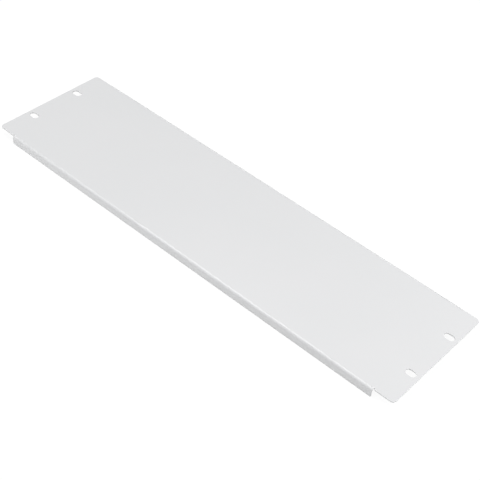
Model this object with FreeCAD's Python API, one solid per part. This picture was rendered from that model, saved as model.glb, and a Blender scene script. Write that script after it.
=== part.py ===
import FreeCAD, Part
import math
import os

# A three-unit blanking panel for a 19-inch rack, folded from one steel sheet.
# It lies face up on the edges of its two lips: X runs along the panel, Y across it,
# Z points out of the front face, and the origin is under the middle at lip-edge level.
# All sizes are in millimetres.

# Rack standard
RACK_UNIT = 44.45
UNITS_HIGH = 3
STACKING_GAP = 0.85
PANEL_LENGTH = 482.6
HOLE_SPAN = 465.1
HOLE_RISE = 57.15

# Sheet and folds
SHEET = 1.2
BEND_INNER_RADIUS = 1.2
LIP_DEPTH = 9.0
LIP_LENGTH = 441.0

# Ears and their fixing slots
EAR_STEP = 1.5
EAR_CORNER_RADIUS = 4.0
RELIEF_WIDTH = 1.0
RELIEF_DEPTH = 1.2
SLOT_LENGTH = 10.0
SLOT_WIDTH = 6.5

# Coated edges are never quite sharp, and the slots are deburred
EDGE_ROUND = 0.2
SLOT_BEVEL = 0.2
SHARP_EDGE_DEGREES = 30.0

PANEL_HEIGHT = UNITS_HIGH * RACK_UNIT - STACKING_GAP
EAR_HEIGHT = PANEL_HEIGHT - 2 * EAR_STEP
BEND_OUTER_RADIUS = BEND_INNER_RADIUS + SHEET
FACE_BACK = LIP_DEPTH - SHEET
ALONG = FreeCAD.Vector(1, 0, 0)
OUTWARD = FreeCAD.Vector(0, 0, 1)
TOLERANCE = 0.001


def quarter_bend(centre_y, centre_z, radius, side):
    """Arc of a fold in the section, from the lip up to the face, on side -1 or +1."""
    diagonal = radius / 2 ** 0.5
    lip_end = FreeCAD.Vector(0, centre_y + side * radius, centre_z)
    middle = FreeCAD.Vector(0, centre_y + side * diagonal, centre_z + diagonal)
    face_end = FreeCAD.Vector(0, centre_y, centre_z + radius)
    return Part.Arc(lip_end, middle, face_end).toShape()


def line(y_start, z_start, y_end, z_end):
    """Straight stretch of the section."""
    start = FreeCAD.Vector(0, y_start, z_start)
    end = FreeCAD.Vector(0, y_end, z_end)
    return Part.makeLine(start, end)


def folded_channel():
    """Face and both lips over the length of the lips, as one bent section drawn along X."""
    outer = PANEL_HEIGHT / 2
    inner = outer - SHEET
    bend_y = outer - BEND_OUTER_RADIUS
    bend_z = LIP_DEPTH - BEND_OUTER_RADIUS
    edges = [
        line(-bend_y, LIP_DEPTH, bend_y, LIP_DEPTH),
        line(-bend_y, FACE_BACK, bend_y, FACE_BACK),
    ]
    for side in (-1, 1):
        edges += [
            quarter_bend(side * bend_y, bend_z, BEND_OUTER_RADIUS, side),
            quarter_bend(side * bend_y, bend_z, BEND_INNER_RADIUS, side),
            line(side * outer, bend_z, side * outer, 0),
            line(side * outer, 0, side * inner, 0),
            line(side * inner, 0, side * inner, bend_z),
        ]
    section = Part.Face(Part.Wire(Part.__sortEdges__(edges)))
    channel = section.extrude(ALONG * LIP_LENGTH)
    channel.translate(ALONG * (-LIP_LENGTH / 2))
    return channel


def is_upright(edge):
    """True for an edge that starts along Z."""
    return edge.tangentAt(edge.FirstParameter).cross(OUTWARD).Length < TOLERANCE


def fold_strip(side):
    """Strip that the sheet leaves to a fold: it ends in the relief slits beside the ears."""
    length = LIP_LENGTH + 2 * RELIEF_WIDTH
    middle_y = side * (EAR_HEIGHT - RELIEF_DEPTH) / 2
    corner = FreeCAD.Vector(-length / 2, middle_y - RELIEF_DEPTH / 2, FACE_BACK)
    return Part.makeBox(length, RELIEF_DEPTH, SHEET, corner)


def ear_plate():
    """Flat sheet over the whole length: its ends stand past the lips as the two ears."""
    corner = FreeCAD.Vector(-PANEL_LENGTH / 2, -EAR_HEIGHT / 2, FACE_BACK)
    plate = Part.makeBox(PANEL_LENGTH, EAR_HEIGHT, SHEET, corner)
    corners = [edge for edge in plate.Edges if is_upright(edge)]
    plate = plate.makeFillet(EAR_CORNER_RADIUS, corners)
    return plate.cut(fold_strip(-1)).cut(fold_strip(1))


def is_relief_corner(edge):
    """True for the short upright edges at the square bottom of a relief slit."""
    middle = edge.CenterOfMass
    past_lip_end = abs(middle.x) - LIP_LENGTH / 2
    from_slit_end = abs(abs(middle.y) - EAR_HEIGHT / 2 + RELIEF_DEPTH)
    in_slit = -TOLERANCE < past_lip_end < RELIEF_WIDTH + TOLERANCE
    return is_upright(edge) and in_slit and from_slit_end < TOLERANCE


def fixing_slot(centre_x, centre_y):
    """Slot with round ends, lengthways on the ear, cut right through the sheet."""
    radius = SLOT_WIDTH / 2
    half_straight = SLOT_LENGTH / 2 - radius
    base = FreeCAD.Vector(centre_x - half_straight, centre_y - radius, FACE_BACK)
    cutter = Part.makeBox(2 * half_straight, SLOT_WIDTH, SHEET, base)
    for side in (-1, 1):
        end = FreeCAD.Vector(centre_x + side * half_straight, centre_y, FACE_BACK)
        cutter = cutter.fuse(Part.makeCylinder(radius, SHEET, end, OUTWARD))
    return cutter.removeSplitter()


def meets_sharply(panel, edge):
    """True where the two faces beside an edge meet at a clear angle."""
    faces = panel.ancestorsOfType(edge, Part.Face)
    if len(faces) != 2:
        return False
    middle = edge.valueAt((edge.FirstParameter + edge.LastParameter) / 2)
    normals = []
    for face in faces:
        u, v = face.Surface.parameter(middle)
        normals.append(face.normalAt(u, v))
    return math.degrees(normals[0].getAngle(normals[1])) > SHARP_EDGE_DEGREES


def sharp_edges(panel):
    """Every edge that is still sharp."""
    return [edge for edge in panel.Edges if meets_sharply(panel, edge)]


def outline_edges(panel):
    """The sharp edges all round the folded sheet, without the square bottoms of the relief slits."""
    return [edge for edge in sharp_edges(panel) if not is_relief_corner(edge)]


def slot_rims(panel):
    """The sharp edges round the fixing slots, on the front and the back of the ears."""
    reach = HOLE_RISE / 2 + SLOT_WIDTH
    return [edge for edge in sharp_edges(panel) if abs(edge.CenterOfMass.y) < reach]


def blanking_panel():
    """The finished panel: folded, softened along its outline, then slotted and deburred."""
    panel = folded_channel().fuse(ear_plate()).removeSplitter()
    panel = panel.makeFillet(EDGE_ROUND, outline_edges(panel))
    for centre_x in (-HOLE_SPAN / 2, HOLE_SPAN / 2):
        for centre_y in (-HOLE_RISE / 2, HOLE_RISE / 2):
            panel = panel.cut(fixing_slot(centre_x, centre_y))
    return panel.makeChamfer(SLOT_BEVEL, slot_rims(panel))


os.makedirs("parts", exist_ok=True)
blanking_panel().exportStep("parts/panel.step")
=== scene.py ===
import math

import bpy
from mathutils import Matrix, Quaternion, Vector


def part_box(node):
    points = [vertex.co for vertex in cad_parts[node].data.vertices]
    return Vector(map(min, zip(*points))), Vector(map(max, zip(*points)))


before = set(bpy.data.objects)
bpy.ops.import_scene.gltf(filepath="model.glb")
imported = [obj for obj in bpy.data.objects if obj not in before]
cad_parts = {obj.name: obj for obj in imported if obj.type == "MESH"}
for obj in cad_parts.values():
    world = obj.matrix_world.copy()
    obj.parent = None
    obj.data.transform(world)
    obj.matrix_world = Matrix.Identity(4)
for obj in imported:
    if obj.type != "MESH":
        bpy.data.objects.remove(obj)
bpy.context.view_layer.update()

# Lengths are in metres unless a name says millimetres. Angles are in degrees, powers in watts.
MM = 0.001
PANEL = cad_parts["panel"]
FACE_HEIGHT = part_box("panel")[1].z

# Where the camera stands, from the panel's corners in the photograph
AIM_X, AIM_Y = 30.6 * MM, -12.9 * MM
AIM_DISTANCE = 1003.5 * MM
AZIMUTH, ELEVATION, ROLL = 36.76, 42.73, 7.18
LENS_MM, SENSOR_MM = 83.02, 36.0

# Powder coat
COAT_COLOUR = "E6E6E7"
COAT_ROUGHNESS = 0.22
COAT_IOR = 1.5

# Patches in which the coat baked thinner
THIN_COAT_COLOUR = "E2E3E4"
THIN_COAT_ROUGHNESS = 0.28
THIN_PATCH_MM = 70.0
THIN_PATCH_DETAIL = 2.0

# Orange peel, at the coarse end of its real spacing so that it shows in a view of the whole panel
ORANGE_PEEL_MM = 2.2
ORANGE_PEEL_HEIGHT_MM = 0.006
ORANGE_PEEL_DETAIL = 1.0

# Table: what the eye sees of it is mostly an even glow, and the rest is lit and keeps the shadow
FLOOR_SIZE = 20.0
FLOOR_COLOUR = "F0F0F0"
FLOOR_GLOW_SHARE = 0.88
FLOOR_GLOW_LEVEL = 1.06

# Surroundings: how much they light the panel, and how bright the eye sees them
ROOM_LIGHT = 0.15
BACKDROP_LEVEL = 1.0
WHITE = (1.0, 1.0, 1.0, 1.0)


def linear(code):
    """Turns an sRGB hex colour into the linear colour that shaders take."""
    shares = [int(code[i:i + 2], 16) / 255 for i in (0, 2, 4)]
    levels = [s / 12.92 if s <= 0.04045 else ((s + 0.055) / 1.055) ** 2.4 for s in shares]
    return (*levels, 1.0)


def add(tree, kind, settings=None, links=None):
    """Adds a node with its settings, and links its sockets, which are given by name or number."""
    node = tree.nodes.new(kind)
    for name, value in (settings or {}).items():
        if name in node.inputs:
            node.inputs[name].default_value = value
        else:
            setattr(node, name, value)
    for socket, source in (links or {}).items():
        tree.links.new(source, node.inputs[socket])
    return node


def new_material(name):
    """A node material with nothing in it yet, and its node tree."""
    material = bpy.data.materials.new(name)
    material.use_nodes = True
    material.node_tree.nodes.clear()
    return material, material.node_tree


def powder_coated_steel():
    """Polyester powder sprayed and baked onto steel sheet.

    The eye gets a pale, cool grey skin with a half-matt sheen that softens every lamp. Where the
    film baked thinner it is a shade darker and duller, and a faint orange peel breaks up the gloss.
    """
    material, tree = new_material("powder_coated_steel")
    place = add(tree, "ShaderNodeTexCoord").outputs["Object"]
    patches = {"Scale": 1 / (THIN_PATCH_MM * MM), "Detail": THIN_PATCH_DETAIL}
    film = add(tree, "ShaderNodeTexNoise", patches, {"Vector": place}).outputs["Fac"]
    tints = {"Color1": linear(THIN_COAT_COLOUR), "Color2": linear(COAT_COLOUR)}
    tint = add(tree, "ShaderNodeMixRGB", tints, {"Fac": film})
    dullness = {"To Min": THIN_COAT_ROUGHNESS, "To Max": COAT_ROUGHNESS}
    sheen = add(tree, "ShaderNodeMapRange", dullness, {"Value": film})
    dimples = {"Scale": 1 / (ORANGE_PEEL_MM * MM), "Detail": ORANGE_PEEL_DETAIL}
    peel = add(tree, "ShaderNodeTexNoise", dimples, {"Vector": place}).outputs["Fac"]
    bump = add(tree, "ShaderNodeBump", {"Distance": ORANGE_PEEL_HEIGHT_MM * MM}, {"Height": peel})
    skin = {
        "Base Color": tint.outputs["Color"],
        "Roughness": sheen.outputs["Result"],
        "Normal": bump.outputs["Normal"],
    }
    shader = add(tree, "ShaderNodeBsdfPrincipled", {"IOR": COAT_IOR}, skin)
    add(tree, "ShaderNodeOutputMaterial", links={"Surface": shader.outputs["BSDF"]})
    return material


def seen_directly(tree):
    """1 for rays that show a surface to the eye: straight, in gloss or through glass."""
    path = add(tree, "ShaderNodeLightPath").outputs
    either = {"operation": "MAXIMUM"}
    indirect = {0: path["Is Glossy Ray"], 1: path["Is Transmission Ray"]}
    gloss_or_glass = add(tree, "ShaderNodeMath", either, indirect).outputs[0]
    any_of_them = {0: path["Is Camera Ray"], 1: gloss_or_glass}
    return add(tree, "ShaderNodeMath", either, any_of_them).outputs[0]


def matt_white_laminate():
    """White laminate, pressed to a matt face, on the table.

    The eye gets an even white on which the panel's shadow is as faint as on a lit light table.
    """
    material, tree = new_material("matt_white_laminate")
    matt = add(tree, "ShaderNodeBsdfDiffuse", {"Color": linear(FLOOR_COLOUR)}).outputs[0]
    even_white = {"Color": WHITE, "Strength": FLOOR_GLOW_LEVEL}
    glow = add(tree, "ShaderNodeEmission", even_white).outputs[0]
    lit_and_glowing = {1: matt, 2: glow}
    bright = add(tree, "ShaderNodeMixShader", {"Fac": FLOOR_GLOW_SHARE}, lit_and_glowing).outputs[0]
    to_panel_or_eye = {"Fac": seen_directly(tree), 1: matt, 2: bright}
    table = add(tree, "ShaderNodeMixShader", links=to_panel_or_eye).outputs[0]
    add(tree, "ShaderNodeOutputMaterial", links={"Surface": table})
    return material


def lay_floor():
    """The table that the panel lies on, level with its lip edges."""
    half = FLOOR_SIZE / 2
    corners = [(-half, -half, 0), (half, -half, 0), (half, half, 0), (-half, half, 0)]
    mesh = bpy.data.meshes.new("floor")
    mesh.from_pydata(corners, [], [(0, 1, 2, 3)])
    mesh.materials.append(matt_white_laminate())
    floor = bpy.data.objects.new("floor", mesh)
    bpy.context.scene.collection.objects.link(floor)


def whiten_surroundings():
    """World that adds a little light from all round, and that the eye sees as a white backdrop."""
    world = bpy.data.worlds.new("studio")
    bpy.context.scene.world = world
    world.use_nodes = True
    tree = world.node_tree
    tree.nodes.clear()
    as_lamp = {"Color": WHITE, "Strength": ROOM_LIGHT}
    room = add(tree, "ShaderNodeBackground", as_lamp).outputs[0]
    as_backdrop = {"Color": WHITE, "Strength": BACKDROP_LEVEL}
    backdrop = add(tree, "ShaderNodeBackground", as_backdrop).outputs[0]
    to_panel_or_eye = {"Fac": seen_directly(tree), 1: room, 2: backdrop}
    surroundings = add(tree, "ShaderNodeMixShader", links=to_panel_or_eye).outputs[0]
    add(tree, "ShaderNodeOutputWorld", links={"Surface": surroundings})


def soft_box(name, place, width, power, mirrored=True):
    """Square studio lamp that hangs at place and faces the panel.

    One that isn't mirrored lights the panel but leaves no glare on it, as behind a polariser.
    """
    lamp = bpy.data.lights.new(name, "AREA")
    lamp.size = width
    lamp.energy = power
    stand = bpy.data.objects.new(name, lamp)
    stand.location = place
    stand.rotation_euler = (-Vector(place)).to_track_quat("-Z", "Y").to_euler()
    stand.visible_glossy = mirrored
    bpy.context.scene.collection.objects.link(stand)


def light_studio():
    """White surroundings, with soft boxes high over the left end, at the right end and in front."""
    whiten_surroundings()
    soft_box("over_box", place=(-0.8, 0.0, 2.0), width=1.2, power=19.6)
    soft_box("back_box", place=(-0.9, 0.75, 2.0), width=0.8, power=5.2)
    soft_box("right_box", place=(0.9, 0.1, 0.7), width=0.9, power=7.3, mirrored=False)
    soft_box("front_box", place=(-0.9, -1.2, 0.5), width=0.6, power=7.4, mirrored=False)


def stand_camera():
    """Camera at the photograph's place: it looks down on the near lip from the right."""
    azimuth, elevation = math.radians(AZIMUTH), math.radians(ELEVATION)
    away = Vector((
        math.sin(azimuth) * math.cos(elevation),
        -math.cos(azimuth) * math.cos(elevation),
        math.sin(elevation),
    ))
    lens = bpy.data.cameras.new("camera")
    lens.sensor_width = SENSOR_MM
    lens.lens = LENS_MM
    camera = bpy.data.objects.new("camera", lens)
    camera.location = Vector((AIM_X, AIM_Y, FACE_HEIGHT)) + away * AIM_DISTANCE
    camera.rotation_mode = "QUATERNION"
    level = (-away).to_track_quat("-Z", "Y")
    camera.rotation_quaternion = level @ Quaternion((0, 0, 1), math.radians(ROLL))
    bpy.context.scene.collection.objects.link(camera)
    bpy.context.scene.camera = camera


PANEL.data.materials.clear()
PANEL.data.materials.append(powder_coated_steel())
lay_floor()
light_studio()
stand_camera()
bpy.context.scene.view_settings.view_transform = "Standard"
